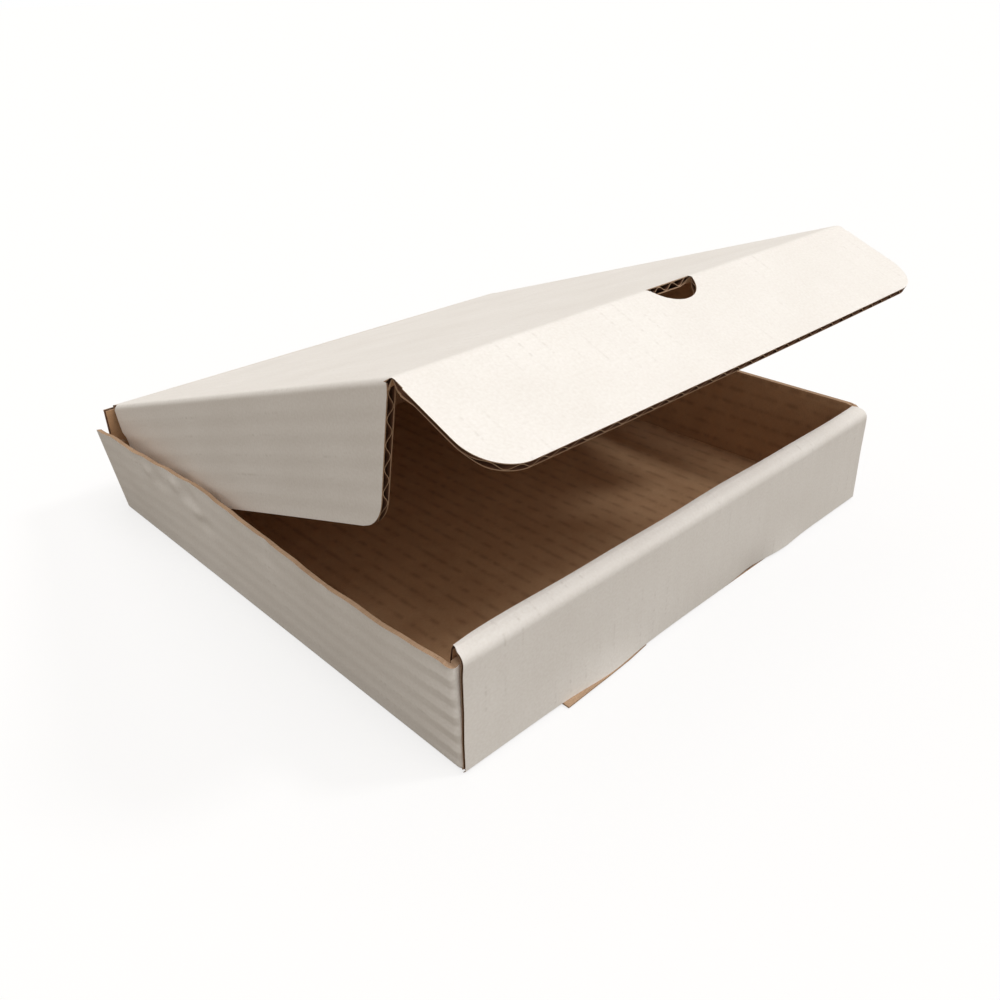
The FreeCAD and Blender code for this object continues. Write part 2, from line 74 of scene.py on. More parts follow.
# %% [markdown]
# A folded sheet has two faces, and each face is a row of straight runs joined by
# small arcs. The outer face has a large arc at a fold and the inner face a sharp
# one, because the board is crushed there. Both are worked out at the same piece
# numbers, so a point between the faces is a plain blend of the two.


# %% Paths with rounded folds
def path(corners, radii):
    """Points on straight runs joined by arcs.

    At each inner corner the run stops r tan(turn / 2) short of it, and an arc of
    radius r turns it. Piece 0 is the first run, piece 1 the first arc, and so on.
    """
    corners = np.array(corners, float)
    step = np.diff(corners, axis=0)
    way = step / np.linalg.norm(step, axis=1)[:, None]
    turn = np.arctan2(way[:-1, 0] * way[1:, 1] - way[:-1, 1] * way[1:, 0],
                      (way[:-1] * way[1:]).sum(1))
    radii = np.where(abs(turn) < 1e-6, 0.0, np.array(radii, float))
    cut = radii * np.tan(abs(turn) / 2)
    first = corners[1:-1] - way[:-1] * cut[:, None]
    last = corners[1:-1] + way[1:] * cut[:, None]
    left = np.stack([-way[:-1, 1], way[:-1, 0]], 1)
    centre = first + left * (np.sign(turn) * radii)[:, None]
    begin = np.vstack([corners[:1], last])
    end = np.vstack([first, corners[-1:]])
    lengths = np.empty(len(begin) + len(first))
    lengths[0::2] = np.linalg.norm(end - begin, axis=1)
    lengths[1::2] = abs(turn) * radii

    def at(piece):
        number = np.minimum(np.floor(piece).astype(int), len(lengths) - 1)
        share = piece - number
        run = number // 2
        straight = begin[run] + share[..., None] * (end - begin)[run]
        arc = np.minimum(run, len(turn) - 1)
        angle = share * turn[arc]
        spoke = (first - centre)[arc]
        cos, sin = np.cos(angle), np.sin(angle)
        curved = centre[arc] + np.stack([spoke[..., 0] * cos - spoke[..., 1] * sin,
                                         spoke[..., 0] * sin + spoke[..., 1] * cos], -1)
        return np.where((number % 2 == 1)[..., None], curved, straight)

    return at, lengths


def folded(outer, inner, outer_radii, inner_radii):
    """The two faces of one folded sheet, by length along the outer face.

    at(v, s) is the point at length v and depth share s, 0 outside and 1 inside.
    """
    outside, lengths = path(outer, outer_radii)
    inside, _ = path(inner, inner_radii)
    marks = np.concatenate([[0.0], np.cumsum(lengths)])

    def at(v, s):
        piece = np.interp(v, marks, np.arange(len(marks)))
        a, b = outside(piece), inside(piece)
        return a + (b - a) * s[..., None]

    return at, marks


def spread(marks, step):
    """Stations at every mark and about one step apart between them."""
    parts = [np.linspace(a, b, max(1, math.ceil((b - a) / step)) + 1)[:-1]
             for a, b in zip(marks[:-1], marks[1:]) if b - a > 1e-6]
    return np.concatenate(parts + [marks[-1:]])


def lid_frame(y, z):
    """Lid coordinates to the box's: a turn by the opening angle about the hinge."""
    c, s = math.cos(math.radians(LID_ANGLE)), math.sin(math.radians(LID_ANGLE))
    return np.stack([HINGE[0] + y * c + z * s, HINGE[1] - y * s + z * c], -1)


CREASE = lid_frame(np.array(-LID_LENGTH), np.array(0.0))


def flap_frame(y, z):
    """Front flap coordinates to the box's: it hangs down from the front crease."""
    drop = math.radians(FLAP_ANGLE - LID_ANGLE)
    c, s = math.cos(drop), math.sin(drop)
    return np.stack([CREASE[0] + y * c - z * s, CREASE[1] + y * s + z * c], -1)


print("front crease at", CREASE.round(2))

# %% [markdown]
# Corrugated board is three papers glued together. Each liner is a thin closed
# shell and the medium between them is a ribbon on a cosine wave, with its crests
# glued to the liners. One function builds all three from a face function, which
# gives a point for a place on the sheet and a depth through it.


# %% Build corrugated board
def shell(a, b, uv, slots):
    """A closed skin between two grids of points: both faces and four side strips.

    slots are the material numbers of face a, face b and the sides.
    """
    n, m = a.shape[:2]
    index = np.arange(n * m).reshape(n, m)
    quads = np.stack([index[:-1, :-1], index[1:, :-1], index[1:, 1:], index[:-1, 1:]], -1)
    quads = quads.reshape(-1, 4)
    rim = np.concatenate([index[:, 0], index[-1, 1:], index[-2::-1, -1], index[0, -2::-1]])
    side = np.stack([rim[:-1], rim[:-1] + n * m, rim[1:] + n * m, rim[1:]], 1)
    points = np.concatenate([a.reshape(-1, 3), b.reshape(-1, 3)])
    p = points[quads]
    normal = np.cross(p[:, 1] - p[:, 0], p[:, 3] - p[:, 0])
    outward = (normal * (a.reshape(-1, 3)[quads[:, 0]] - b.reshape(-1, 3)[quads[:, 0]])).sum()
    back = quads[:, ::-1] + n * m
    faces = [quads, back, side[:, ::-1]]
    if outward < 0:
        faces = [f[:, ::-1] for f in faces]
    number = np.repeat(slots, [len(f) for f in faces])
    return points, np.concatenate(faces), np.concatenate([uv.reshape(-1, 2)] * 2), number


def mesh_object(name, parts, materials, body, sharp=40.0):
    """Joins point, face, UV and material arrays into one object on a CAD body."""
    shift = np.cumsum([0] + [len(part[0]) for part in parts[:-1]])
    points = np.concatenate([part[0] for part in parts]) * MM
    quads = np.concatenate([part[1] + k for part, k in zip(parts, shift)])
    uv = np.concatenate([part[2] for part in parts]) / 100.0
    number = np.concatenate([part[3] for part in parts]).astype(np.int32)
    mesh = bpy.data.meshes.new(name)
    mesh.vertices.add(len(points))
    mesh.vertices.foreach_set("co", points.astype(np.float32).ravel())
    mesh.loops.add(quads.size)
    mesh.loops.foreach_set("vertex_index", quads.astype(np.int32).ravel())
    mesh.polygons.add(len(quads))
    mesh.polygons.foreach_set("loop_start", np.arange(0, quads.size, 4, dtype=np.int32))
    mesh.polygons.foreach_set("material_index", number)
    mesh.update(calc_edges=True)
    layer = mesh.uv_layers.new(name="sheet")
    layer.data.foreach_set("uv", uv[quads.ravel()].astype(np.float32).ravel())
    mesh.shade_smooth()
    mesh.set_sharp_from_angle(angle=math.radians(sharp))
    for material in materials:
        mesh.materials.append(material)
    made = bpy.data.objects.new(name, mesh)
    bpy.context.scene.collection.objects.link(made)
    if body:
        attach(made, body)
    print(name, len(quads), "quads, on", body)
    return made


def board(name, face, u, v, flute_u, flute_v, body, phase=0.0):
    """Outer liner, inner liner and fluted medium from one face function.

    The medium's middle lies at half depth plus a cosine of u over the flute
    pitch, and its crests reach the liners.
    """
    flat = np.zeros_like(u)
    uv = np.stack([u, v], -1)
    parts = [shell(face(u, v, flat), face(u, v, flat + LINER), uv, (0, 3, 2)),
             shell(face(u, v, flat + 1 - LINER), face(u, v, flat + 1), uv, (3, 1, 2))]
    swing = 0.5 - LINER - MEDIUM / 2
    wave = 0.5 + swing * np.cos(2 * np.pi * flute_u / FLUTE + phase)
    fine = np.stack([flute_u, flute_v], -1)
    parts.append(shell(face(flute_u, flute_v, wave - MEDIUM / 2),
                       face(flute_u, flute_v, wave + MEDIUM / 2), fine, (3, 3, 2)))
    return mesh_object(name, parts, PAPERS, body)


def between(rows, low, high):
    """A grid whose column j runs from low[j] to high[j], or row i from low[i]."""
    return low + (high - low) * rows


print("liner %.2f mm, medium %.2f mm" % (LINER * T, MEDIUM * T))


# %% [markdown]
# The papers come first as names, so that the panels can use them. Their colour
# and grain are made near the end, when the whole box can be looked at.

# %% Name the papers
white_liner = bpy.data.materials.new("bleached_white_top_liner")
kraft_liner = bpy.data.materials.new("kraft_test_liner")
cut_edge = bpy.data.materials.new("knife_cut_kraft_edge")
medium_paper = bpy.data.materials.new("fluting_medium")
PAPERS = [white_liner, kraft_liner, cut_edge, medium_paper]
print("papers:", [paper.name for paper in PAPERS])

# %% [markdown]
# The base is the flat middle of the sheet. Its flutes run from front to back, so
# the wave goes across the width. Each wall's board brings its own fold along, and
# the base only reaches to where those folds begin.

# %% The base panel
FOLD, FOOT_R = 2.4, 1.2  # outer radius of an upright fold, and of one along the table


def base_face(u, v, s):
    """A flat sheet: the outer face is FOOT_R short of the walls, the inner one T."""
    x = u * (1 + (FOOT_R - T) * s / (HALF_W - FOOT_R))
    y = v * (1 + (FOOT_R - T) * s / (HALF_D - FOOT_R))
    return np.stack([x, y, T * s + 0.0 * x], -1)


def block(u, v):
    """Every pair of a row of u and a row of v, as two grids."""
    return np.meshgrid(u, v, indexing="ij")


edge_u, edge_v = HALF_W - FOOT_R, HALF_D - FOOT_R
base = board("base_board", base_face,
             *block(np.linspace(-edge_u, edge_u, 66), np.linspace(-edge_v, edge_v, 66)),
             *block(np.linspace(-edge_u, edge_u, 400), np.linspace(-edge_v, edge_v, 3)),
             body="tray")

# %% [markdown]
# The front wall is one strip of the sheet that goes up, over the top and down
# again inside, so its flutes follow the path and the wave runs across. Its top
# is a soft roll, narrower and more peaked at the left end than in the middle.

# %% The double front wall
FRONT_TOP = 47.0           # height of the outer panel
STRIP, RISE = 8.2, 2.9     # depth of the strip over the top, and how much it climbs
FOOT, CUT_IN = 9.9, 2.8    # depth to the inner panel's foot, and the ends' set-back
front_at, front_marks = folded(
    [(-HALF_D + FOOT_R, 0), (-HALF_D, 0), (-HALF_D, FRONT_TOP),
     (STRIP - HALF_D, FRONT_TOP + RISE), (FOOT - HALF_D, T + GAP)],
    [(-HALF_D + T, T), (-HALF_D + T, T + 0.01), (-HALF_D + T, FRONT_TOP - 1.6),
     (STRIP - HALF_D - T, FRONT_TOP + RISE - 3.4), (FOOT - HALF_D - T, T + GAP)],
    [FOOT_R - 0.01, 4.2, 2.4], [0.005, 1.2, 0.3])


def bump(x, middle, width):
    """A smooth hill of height one: exp(-(distance / width) squared)."""
    return np.exp(-((x - middle) / width) ** 2)


edge_x = HALF_W - CUT_IN


def front_face(u, v, s):
    """The path in the YZ plane, pushed out over the tabs and eased at the top.

    Both ends are pinched to 0.4 of the thickness by a hill 4 mm wide, and reach
    out over the side walls' corners, most at the foot.
    """
    end = bump(abs(u), edge_x, 4.0)
    yz = front_at(v, s * (1 - 0.6 * end))
    y, z = yz[..., 0], yz[..., 1]
    # the outer panel: tabs push its foot out in two places, and it bellies a little
    low = np.clip(1 - z / 16, 0, 1) ** 2
    outer = np.clip((-HALF_D + 2 * T - y) / T, 0, 1)
    push = (2.0 * bump(u, -58, 17) + 1.0 * bump(u, 65, 12) - 1.3 * bump(u, 39, 13)
            - 0.4 * bump(u, 5, 30))
    belly = 0.5 * np.sin(u / 41.0 + 0.6) * np.sin(np.pi * np.clip(z / FRONT_TOP, 0, 1))
    # the strip over the top: slow ripples, and a peak at the left end
    top = np.clip((z - 40) / 8, 0, 1)
    ripple = 0.22 * np.sin(u / 9.5) + 0.3 * np.sin(u / 23 + 1.0)
    peak = bump(u, -HALF_W, 9)
    y = y - outer * (low * push + belly * 0.6) + top * (
        np.clip(y + HALF_D - 3, 0, 6) / 6 * (ripple - 1.7 * peak))
    z = z + top * (0.12 * np.sin(u / 17) + 0.3 * peak)
    # the outer panel's ends reach out over the side walls' corners
    reach = np.interp(z, [0, 13, 26, 40, 48], [CUT_IN, 2.6, 2.0, 1.9, 1.2])
    outer = np.clip((-HALF_D + 2 * T - y) / T, 0, 1)
    x = u + np.sign(u) * bump(abs(u), edge_x, 12.0) * reach * outer
    return np.stack([x, y, z], -1)


front_v = np.concatenate([spread(front_marks[:2], 0.5)[:-1], spread(front_marks[1:3], 3.0)[:-1],
                          spread(front_marks[2:4], 0.6)[:-1], spread(front_marks[3:5], 1.2)[:-1],
                          spread(front_marks[4:6], 0.5)[:-1], spread(front_marks[5:], 4.0)])
front_wall = board("front_wall_board", front_face,
                   *block(np.linspace(-edge_x, edge_x, 150), front_v),
                   *block(np.linspace(-edge_x, edge_x, 325), front_v[::2]),
                   body="tray")

# %% [markdown]
# The rear wall stops just below the lid's crease. The crease itself is a narrow
# strip of the same sheet, crushed thin and bent to the lid's angle.

# %% The rear wall
STAND, TUCK = 4.4, 2.8  # how far the ends stand past the crease, and tuck in at the foot
CREASE_END = LID_HALF - 1.2
rear_at, rear_marks = folded(
    [(HALF_D - FOOT_R, 0), (HALF_D, 0), (HALF_D, HINGE[1] - SEAM)],
    [(HALF_D - T, T), (HALF_D - T, T + 0.01), (HALF_D - T, HINGE[1] - SEAM)],
    [FOOT_R - 0.01], [0.005])


def rear_face(u, v, s):
    """The path in the YZ plane. Past the crease's ends the sheet stands higher.

    Low down its ends tuck in behind the side walls.
    """
    yz = rear_at(v, s)
    y, z = yz[..., 0], yz[..., 1]
    end = np.clip((abs(u) - CREASE_END) / 0.1, 0, 1)
    rise = end * STAND * np.clip((z - 40) / (HINGE[1] - SEAM - 40), 0, 1)
    near = np.clip(abs(u) - HALF_W + 9, 0, 9) / 9
    tuck = near * np.interp(z, [0, 15, 34], [TUCK, 2.4, 0])
    return np.stack([u - np.sign(u) * tuck, y, z + rise], -1)


rear_v = np.concatenate([spread(rear_marks[:2], 0.5)[:-1], spread(rear_marks[1:3], 0.6)[:-1],
                         spread(rear_marks[2:], 5.0)])
ends = np.array([-1.0, -1.0, 1.0, 1.0]) * CREASE_END + np.array([-0.1, 0.0, 0.0, 0.1])
rear_wall = board("rear_wall_board", rear_face,
                  *block(np.sort(np.append(np.linspace(-HALF_W, HALF_W, 66), ends)), rear_v),
                  *block(np.sort(np.append(np.linspace(-HALF_W, HALF_W, 400), ends)), rear_v),
                  body="tray")

# %% [markdown]
# Each side wall turns round both corners and ends in an ear. The left wall leans
# out and waves, because nothing holds its top edge. Its lean is a weighted mean
# of the lean at some stations, which gives a smooth line through them. Near the
# front corner fold the flutes stand out as ridges, where the liner is pulled
# tight. The top edge has nicks, and knocks have left shallow dimples below it.

# %% The side walls with their ears
WALL_END = HALF_D - T - GAP
LEFT_STATIONS = np.array([-125, -110, -91, -77, -64, -54, -36, -18, -5, 13, 34, 56,
                          77, 103, 129])
LEFT_LEAN = np.array([2.7, 4.0, 4.9, 4.5, 5.3, 4.6, 3.8, 3.3, 2.7, 1.9, 1.0, 2.2,
                      3.8, 4.9, 6.3])
EAR = 43.0      # length of an ear
RIDGE = 0.26    # height of the ridges over the flutes


def lean_left(y):
    """The stations' mean, each weighted by exp(-(distance / 9 mm) squared)."""
    weight = np.exp(-((y[..., None] - LEFT_STATIONS) / 9.0) ** 2)
    return (weight * LEFT_LEAN).sum(-1) / weight.sum(-1)


def lean_right(y):
    """An almost upright wall with a slow wave."""
    return 0.4 + 0.3 * np.sin(y / 47.0)


def side_wall(name, way, height, front_ear, rear_ear, lean, pinch, nicks, dimples):
    """One wall: u is height over the table and v runs round both corners.

    way is 1 for the left wall and -1 for its mirror image on the right. pinch is
    the share of the thickness lost along the top edge. A nick is (place, depth,
    width) and a dimple is (place, height, depth, width, tallness).
    """
    flat, marks = folded(
        [(-HALF_W + EAR, WALL_END), (-HALF_W, WALL_END), (-HALF_W, -WALL_END),
         (-HALF_W + EAR, -WALL_END)],
        [(-HALF_W + EAR, WALL_END - T), (-HALF_W + T, WALL_END - T),
         (-HALF_W + T, T - WALL_END), (-HALF_W + EAR, T - WALL_END)],
        [FOLD, FOLD], [0.4, 0.4])

    def edge_height(v):
        """Height of the top edge: the ears are lower and fall to their free ends."""
        return np.interp(v, [0, marks[1] - 12, marks[1], marks[2], marks[3] - 3, marks[4],
                             marks[-1]],
                         [rear_ear - 4, rear_ear, rear_ear + 4, height, height, front_ear,
                          front_ear - 4])

    def face(u, v, s):
        """Round the corners in plan, rolled in at the foot, leaning with height.

        At the top edge the liners are pressed together over the last 1.5 mm.
        """
        closed = np.clip((u - edge_height(v) + 1.5) / 1.2, 0, 1)
        s = s + closed * (np.interp(s, [0, LINER, 1 - LINER, 1], [0, 0.5, 0.5, 1]) - s)
        # in plan: pinched along the top, and pushed out at both corners
        wall = ((v > marks[1]) & (v < marks[-2])) * 1.0
        xy = flat(v, s * (1 - wall * pinch * np.clip((u - height + 4) / 4, 0, 1)))
        x, y = xy[..., 0], xy[..., 1]
        y = (y - 1.9 * np.clip((-y - WALL_END + 12) / 12, 0, 1) * bump(x, -HALF_W, 5.0)
             + 3.2 * np.clip((y - WALL_END + 12) / 12, 0, 1) * bump(x, -HALF_W, 4.0))
        # in height: a round foot, then the lean
        z = np.maximum(u, T * s)
        roll = np.clip(1 - z / FOOT_R, 0, 1)
        x = x + (1 - s) * FOOT_R * (1 - np.sqrt(1 - roll ** 2))
        out = lean(np.clip(y, -WALL_END, WALL_END)) * (z / height)
        x = x - out
        # wear: ridges near the front fold, dimples and nicks
        near = np.exp(-abs(marks[-3] - v) / 8) + 0.12 * np.exp(-abs(marks[-3] - v) / 30)
        ridge = RIDGE * np.cos(2 * np.pi * u / FLUTE) ** 3 * near * wall
        x = x - ridge * (1 - s) * np.clip(z / 6, 0, 1) * np.clip((height - z) / 6, 0, 1)
        for at, up, depth, wide, tall in dimples:
            x = x + wall * depth * bump(y, at, wide) * bump(z, up, tall)
        for at, depth, width in nicks:
            dent = bump(y, at, width) * np.clip((z - height + 7) / 7, 0, 1) ** 2
            x = x + wall * dent * depth * (1 - 0.7 * s)
            z = z - wall * dent * abs(depth) * 0.55
        return np.stack([way * x, y, z], -1)

    def grid(rows, step):
        """Stations round the wall, close at the folds, by stations up each of them."""
        v = np.concatenate([spread(marks[:2], step)[:-1], spread(marks[1:3], 0.5)[:-1],
                            spread(marks[2:4], step)[:-1], spread(marks[3:5], 0.5)[:-1],
                            spread(marks[4:], step)])
        foot = np.where((v > marks[1]) & (v < marks[4]), 0.0, T + GAP)
        share = np.concatenate([np.linspace(0, 0.06, 8)[:-1], np.linspace(0.06, 0.96, rows)[:-1],
                                np.linspace(0.96, 1, 5)])
        height_at = between(share[:, None], foot[None, :], edge_height(v)[None, :])
        return height_at, v[None, :] + 0 * share[:, None]

    u, v = grid(54, 2.4)
    fine_u, fine_v = grid(84, 3.0)
    return board(name, face, u, v, fine_u, fine_v, body="tray")


left_wall = side_wall("left_wall_board", 1, 45.5, 44.0, 35.0, lean_left, 0.4,
                      [(44, 0.45, 2.6), (-20, 0.7, 2.6), (88, -0.6, 4.5), (-62, 0.6, 2.2)],
                      [(47, 38, 1.5, 4.5, 5), (57, 40, -1.0, 4, 4), (41, 31, -0.9, 3, 3),
                       (72, 37, 0.9, 5, 5), (80, 38, -0.7, 4, 3), (36, 27, 0.8, 5, 4),
                       (100, 30, -0.5, 9, 12), (-20, 38, 0.5, 8, 7)])
right_wall = side_wall("right_wall_board", -1, 49.0, 44.0, 35.0, lean_right, 0.2,
                       [(20, 0.3, 6.0)], [])

# %% [markdown]
# Two tongues of the inner front panel come out through slots under the front
# wall and lock it. They are crushed flat and rubbed to bare brown fibre on top.

# %% The locking tabs


def tab(name, start, stop, reach):
    """A thin slab whose front edge lies reach in front of the wall and curls a little."""
    share_u, share_v = block(np.linspace(0, 1, 25), np.linspace(0, 1, 15))
    x = start + (stop - start) * share_u
    front = -HALF_D - np.interp(share_u, np.linspace(0, 1, len(reach)), reach)
    back = FOOT - HALF_D - 0.4
    y = front + (back - front) * share_v
    lift = 0.35 + 0.25 * (1 - share_v) * np.sin(share_u * np.pi)
    a = np.stack([x, y, lift], -1)
    b = np.stack([x, y, lift + 1.2 - 0.6 * (1 - share_v) ** 2], -1)
    return mesh_object(name, [shell(a, b, np.stack([x, y], -1), (1, 2, 2))], PAPERS, "tray")


left_tab = tab("left_lock_tab", -83.0, -35.0, [2.9, 2.5, 2.1, 1.4, 0.0])
right_tab = tab("right_lock_tab", 35.0, 83.0, [-2.0, -1.6, -1.2, -1.4, -2.0])

# %% [markdown]
# The lid is a profile carried along the flutes: side flap, fold, panel, fold and
# side flap. Each side flap has a slanted front edge with a round lower corner
# and a step at the rear that clears the ear behind it.

# %% The lid with its side flaps
FLAP_DROP = 47.8                # depth of a side flap
STEP_DROP, STEP = 13.0, 3.9     # the rear step: how far down, and how deep
SLANT, ROUND = 29.5, 18.0       # the front edge's slant in degrees, and corner radius
HOLE_EDGE = 0.86                # the panel's edge in the thumb hole, from the crease
low = SKIN - FLAP_DROP
lid_at, lid_marks = folded(
    [(-LID_HALF, low), (-LID_HALF, SKIN), (LID_HALF, SKIN), (LID_HALF, low)],
    [(T - LID_HALF, low), (T - LID_HALF, SKIN - T), (LID_HALF - T, SKIN - T),
     (LID_HALF - T, low)],
    [FOLD, FOLD], [0.4, 0.4])


lid_middle = (lid_marks[2] + lid_marks[3]) / 2


def lid_face(u, v, s):
    """The profile in the lid's XZ plane, carried along its Y by v, then opened.

    Beside the thumb hole its front edge tapers to crushed board, as the flap does.
    """
    beside = np.clip((abs(u - lid_middle - THUMB_X) - 9.5) / 1.5, 0, 1)
    taper = np.interp(v + LID_LENGTH, [HOLE_EDGE, FULL], [2 * SKIN / T, 1])
    xz = lid_at(u, s * (1 - (1 - taper) * beside * (abs(u - lid_middle) < 60)))
    x, z = xz[..., 0], xz[..., 1]
    panel = np.clip((z + 2 * T) / (2 * T), 0, 1)
    sag = (-0.6 * np.cos(np.pi * x / (2 * LID_HALF))
           * np.sin(np.pi * np.clip(-v / LID_LENGTH, 0, 1)))
    side = np.clip(-(z + T) / 40, 0, 1)
    bow = 0.9 * np.sin(np.pi * np.clip(-v / (LID_LENGTH - 6), 0, 1)) * side
    x = x + np.sign(x) * (0.5 * side - bow)
    z = z + panel * sag
    yz = lid_frame(v, z)
    return np.stack([x, yz[..., 0], yz[..., 1]], -1)


def lid_limits(u):
    """Front and rear end of the sheet at each place across the profile."""
    xz = lid_at(u, np.zeros_like(u))
    depth = np.maximum(SKIN - xz[:, 1], 0)
    tan, cos = math.tan(math.radians(SLANT)), math.cos(math.radians(SLANT))
    slant = T + GAP - LID_LENGTH + np.maximum(depth - T, 0) * tan
    cut = ROUND * math.tan(math.radians((90 - SLANT) / 2))
    centre = T + GAP - LID_LENGTH + (FLAP_DROP - T) * tan + cut
    over = np.clip(depth - (FLAP_DROP - ROUND), 0, ROUND)
    arc = centre - np.sqrt(np.maximum(ROUND ** 2 - over ** 2, 0))
    side = np.where(depth > FLAP_DROP - cut * cos, arc, slant)
    hole = abs(xz[:, 0] - THUMB_X) < THUMB_HALF
    panel = np.where(hole, HOLE_EDGE - LID_LENGTH, SEAM - LID_LENGTH)
    front = np.where(depth > 1.2, side, panel)
    rear = np.interp(depth, [0, 1.2, 2.4, STEP_DROP, STEP_DROP + STEP],
                     [-SEAM, -SEAM, -T - LIP, -T - LIP, -T - LIP - STEP])
    return front, rear


hole_u = lid_middle + THUMB_X
edges = [lid_marks[0], lid_marks[0] + ROUND, lid_marks[1], lid_marks[2],
         hole_u - THUMB_HALF - 0.05, hole_u - THUMB_HALF + 0.05,
         hole_u + THUMB_HALF - 0.05, hole_u + THUMB_HALF + 0.05,
         lid_marks[3], lid_marks[4], lid_marks[5] - ROUND, lid_marks[5]]
lid_u = np.concatenate([spread(np.array(edges[k:k + 2]), step)[:-1] for k, step in enumerate(
    [0.5, 3, 0.5, 5, 1, 3, 1, 5, 0.5, 3, 0.5])] + [[edges[-1]]])
flute_u = np.unique(np.concatenate([np.arange(0, lid_marks[-1], FLUTE / 12), lid_u]))


def lid_grid(u, columns):
    """Columns from the front limit to the rear one at each place across."""
    front, rear = lid_limits(u)
    share = np.linspace(0, 1, columns)
    return u[:, None] + 0 * share[None, :], between(share[None, :], front[:, None], rear[:, None])


lid = board("lid_board", lid_face, *lid_grid(lid_u, 60), *lid_grid(flute_u, 6), body="lid")

# %% [markdown]
# The front flap hangs from the lid's front crease. Its lower corners are round
# and the thumb hole takes a bite out of it at the crease. The wave runs across
# its width, so its free edge shows every flute.

# %% The front flap
DROP, CORNER = 44.1, 16.0  # depth of the flap, and radius of its lower corners
HOLE_R = (THUMB_HALF ** 2 + THUMB_DROP ** 2) / (2 * THUMB_DROP)


def flap_face(u, v, s):
    """A sheet that tapers to crushed board at the crease, with corners curled up.

    The side ends are pinched too, by a hill 2.5 mm wide.
    """
    inner = np.interp(v, [LIP, FULL], [-SKIN, SKIN - T])
    thin = 1 - 0.45 * bump(abs(u), LID_HALF, 2.5) * np.clip((v - SEAM) / 6, 0, 1)
    z = SKIN + (inner - SKIN) * s * thin
    curl = 0.75 * (v / DROP) ** 2 * (u / LID_HALF) ** 2
    yz = flap_frame(-v, z + curl)
    return np.stack([u, yz[..., 0], yz[..., 1]], -1)


def flap_limits(u):
    """From the seam or the hole's arc down to the free edge and its corners."""
    over = np.clip(abs(u) - (LID_HALF - CORNER), 0, CORNER)
    end = DROP - CORNER + np.sqrt(CORNER ** 2 - over ** 2)
    arc = np.sqrt(np.maximum(HOLE_R ** 2 - (u - THUMB_X) ** 2, 0)) - (HOLE_R - THUMB_DROP)
    inside = abs(u - THUMB_X) < THUMB_HALF
    return np.where(inside, np.maximum(arc, 0.6), SEAM), end


edges = [-LID_HALF, -LID_HALF + 1.5, CORNER - LID_HALF, THUMB_X - THUMB_HALF - 0.03,
         THUMB_X - THUMB_HALF + 0.03, THUMB_X + THUMB_HALF - 0.03,
         THUMB_X + THUMB_HALF + 0.03, LID_HALF - CORNER, LID_HALF - 1.5, LID_HALF]
flap_u = np.concatenate([spread(np.array(edges[k:k + 2]), step)[:-1] for k, step in enumerate(
    [0.12, 0.8, 4, 1, 0.8, 1, 4, 0.8, 0.12])] + [[LID_HALF]])
flap_fine = np.unique(np.concatenate([np.arange(-LID_HALF, LID_HALF, FLUTE / 12), flap_u]))


def flap_grid(u, columns):
    """Columns from the crease's side to the free edge at each place across."""
    top, end = flap_limits(u)
    share = np.linspace(0, 1, columns)
    return u[:, None] + 0 * share[None, :], between(share[None, :], top[:, None], end[:, None])


flap = board("front_flap_board", flap_face, *flap_grid(flap_u, 22), *flap_grid(flap_fine, 5),
             body="front_flap")

# %% [markdown]
# The creases are the folds between the moving bodies. Each is a short strip
# that starts and ends at full thickness, is crushed to a skin in the middle, and
# is bent to the angle between the two bodies that it joins. It belongs to no body.
# The front crease is in two strips, one on each side of the thumb hole.

# %% The two creases


def crease_strip(name, outer, inner, radius, low_u, high_u, fall=0.0):
    """A strip across a fold, from one panel's seam to the other's.

    Where fall is 1 its first half drops at the lid's edges by r - sqrt(r^2 - over^2),
    the round of the lid's side fold.
    """
    at, marks = folded(outer, inner, [0, 0, radius, 0, 0], [0.3, 0, 0, 0, 0.3])

    def face(u, v, s):
        """The path in the YZ plane, lowered square to the lid by the drop."""
        yz = at(v, s)
        over = np.clip(abs(u) - LID_HALF + FOLD, 0, FOLD)
        drop = fall * (FOLD - np.sqrt(FOLD ** 2 - over ** 2)) * np.clip(
            1 - 2 * v / marks[-1], 0, 1)
        return np.stack([u, yz[..., 0] - drop * math.sin(math.radians(LID_ANGLE)),
                         yz[..., 1] - drop * math.cos(math.radians(LID_ANGLE))], -1)

    v = spread(marks, 0.7)
    ends = np.linspace(0, FOLD, 8)
    u = np.unique(np.concatenate([np.arange(low_u, high_u, 5.0), low_u + ends, high_u - ends]))
    fine = np.unique(np.concatenate([np.arange(low_u, high_u, FLUTE / 12), u]))
    strip = board(name, face, *block(u, v), *block(fine, v), body=None)
    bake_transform(strip)
    return strip


def on_lid(y, z):
    """The box's Y and Z of a point given along and over the lid."""
    return tuple(lid_frame(np.array(float(y)), np.array(float(z))))


def on_flap(y, z):
    """The box's Y and Z of a point given along and over the front flap."""
    return tuple(flap_frame(np.array(float(y)), np.array(float(z))))


def meeting(turn):
    """How far the outer faces' meeting point lies past a crease's own line."""
    return SKIN * math.tan(math.radians(turn / 2))


rear_strip = crease_strip(
    "rear_crease",
    [(HALF_D, HINGE[1] - SEAM), (HALF_D, HINGE[1] - FULL), (HALF_D, HINGE[1] - OUTER_LIP),
     (HALF_D, HINGE[1] + meeting(90 - LID_ANGLE)), on_lid(-OUTER_LIP, SKIN),
     on_lid(-FULL, SKIN), on_lid(-SEAM, SKIN)],
    [(HALF_D - T, HINGE[1] - SEAM), (HALF_D - T, HINGE[1] - FULL),
     (HALF_D - 2 * SKIN, HINGE[1] - LIP), (HINGE[0] - 0.33, HINGE[1] - 0.24),
     on_lid(-LIP, -SKIN), on_lid(-FULL, SKIN - T), on_lid(-SEAM, SKIN - T)],
    1.0, -CREASE_END, CREASE_END)

